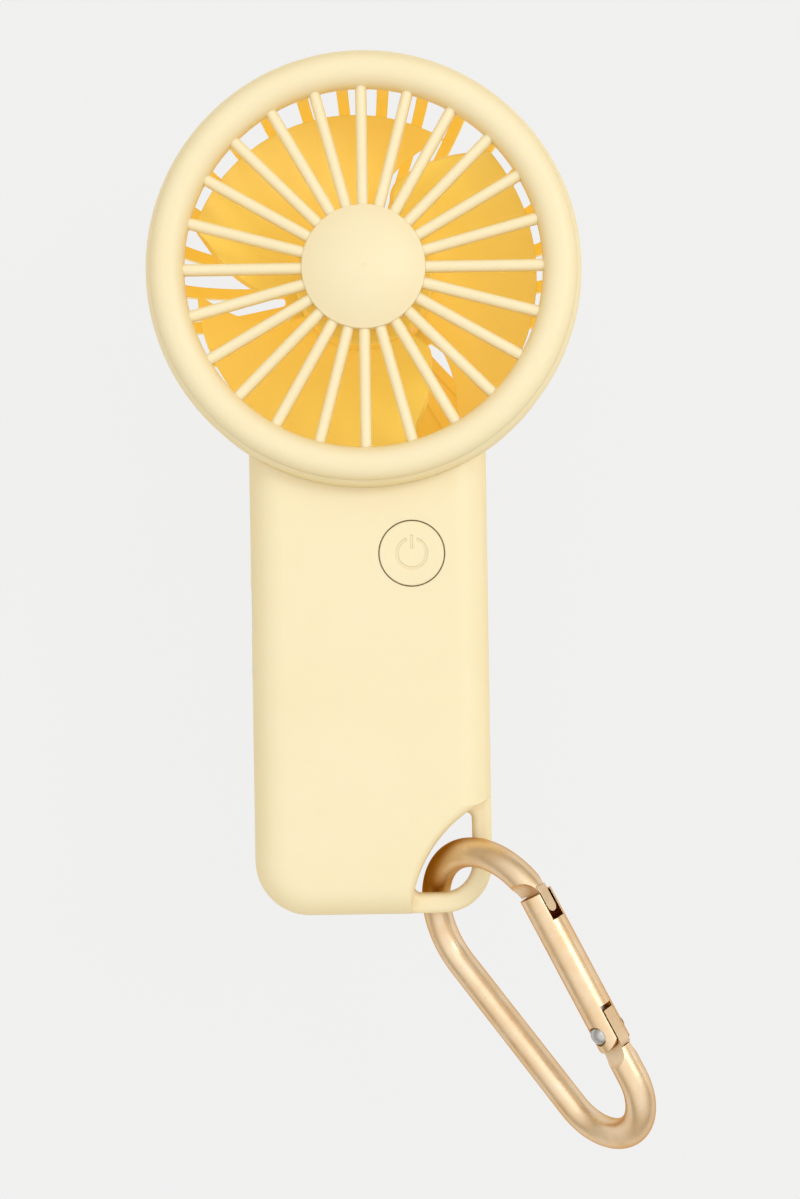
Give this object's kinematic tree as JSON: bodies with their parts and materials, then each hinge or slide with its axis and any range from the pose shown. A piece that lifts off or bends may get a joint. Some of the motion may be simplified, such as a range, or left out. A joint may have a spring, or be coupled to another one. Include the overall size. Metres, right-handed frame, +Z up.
{
  "type": "handheld fan",
  "caption": "Slim battery handheld fan with a round grilled head, push button, corner lanyard loop and a spring-gate carabiner clip.",
  "frame": {"origin": "centre of the handle's flat bottom end", "axes": "+Z up the handle to the head, -Y the side the air blows out of, +X right seen from the front"},
  "size_m": [0.0909, 0.0383, 0.2037],
  "materials": {
    "shell": "satin moulded",
    "grille": "satin moulded",
    "impeller": "satin moulded",
    "button": "satin moulded",
    "steel": "plain",
    "magnet": "bonded magnet",
    "lamination": "stacked laminations",
    "insulator": "moulded",
    "copper": "enamelled wire",
    "brass": "turned",
    "board": "solder mask",
    "chips": "moulded",
    "port": "drawn",
    "black_plastic": "moulded",
    "light_pipe": "frosted",
    "led": "clear",
    "cell": "foil pouch",
    "foam": "closed cell foam",
    "connector": "moulded",
    "wire": "insulated",
    "gold": "satin anodised"
  },
  "bodies": {
    "body": {"front_shell": "shell", "rear_shell": "shell", "cable_cover": "shell", "front_grille": "grille", "bearing_tube": "brass", "bearing_bushes": "brass", "stator_core": "lamination", "stator_insulators": "insulator", "stator_windings": "copper", "motor_board": "board", "motor_board_parts": "chips", "motor_screws": "steel", "switch_body": "port", "main_board": "board", "board_components": "chips", "usb_receptacle": "port", "usb_tongue": "black_plastic", "light_pipe": "light_pipe", "charge_led": "led", "battery_cell": "cell", "battery_board": "board", "battery_pad": "foam", "battery_connector": "connector", "battery_wires": "wire", "motor_wires": "wire", "board_screws": "steel", "handle_screws": "steel"},
    "rotor": {"impeller": "impeller", "rotor_yoke": "steel", "magnet_ring": "magnet", "motor_shaft": "steel", "shaft_clip": "steel"},
    "button": {"power_button": "button", "switch_plunger": "black_plastic"},
    "clip": {"carabiner_frame": "gold"},
    "gate": {"carabiner_gate": "gold", "gate_rivet": "steel", "gate_spring": "steel"},
    "plunger": {"gate_plunger": "steel"}
  },
  "joints": [
    {"name": "rotor_spin", "type": "hinge", "parent": "body", "child": "rotor", "pos_m": [0, 0, 0.121], "axis": [0, 1, 0], "continuous": true},
    {"name": "button_press", "type": "slide", "parent": "body", "child": "button", "axis": [0, 1, 0], "range_m": [0, 0.0004], "stiffness_N_per_m": 800},
    {"name": "carabiner_swing", "type": "hinge", "parent": "body", "child": "clip", "pos_m": [0.02258, -0.00914, -0.00208], "axis": [-0.7027, -0.6468, -0.2963], "range_deg": [-70, 70]},
    {"name": "gate_open", "type": "hinge", "parent": "clip", "child": "gate", "pos_m": [0.04201, -0.02272, -0.01851], "axis": [-0.7027, -0.6468, -0.2963], "range_deg": [0, 28], "stiffness_Nm_per_rad": 0.02, "springref_deg": -11.46},
    {"name": "plunger_slide", "type": "slide", "parent": "gate", "child": "plunger", "axis": [-0.4552, 0.0887, 0.886], "range_m": [0, 0.0003451], "deforming": ["gate_spring"]}
  ],
  "couplings": [
    {"joint": "plunger_slide", "follows": "gate_open", "m_per_rad": 0.00067247}
  ]
}
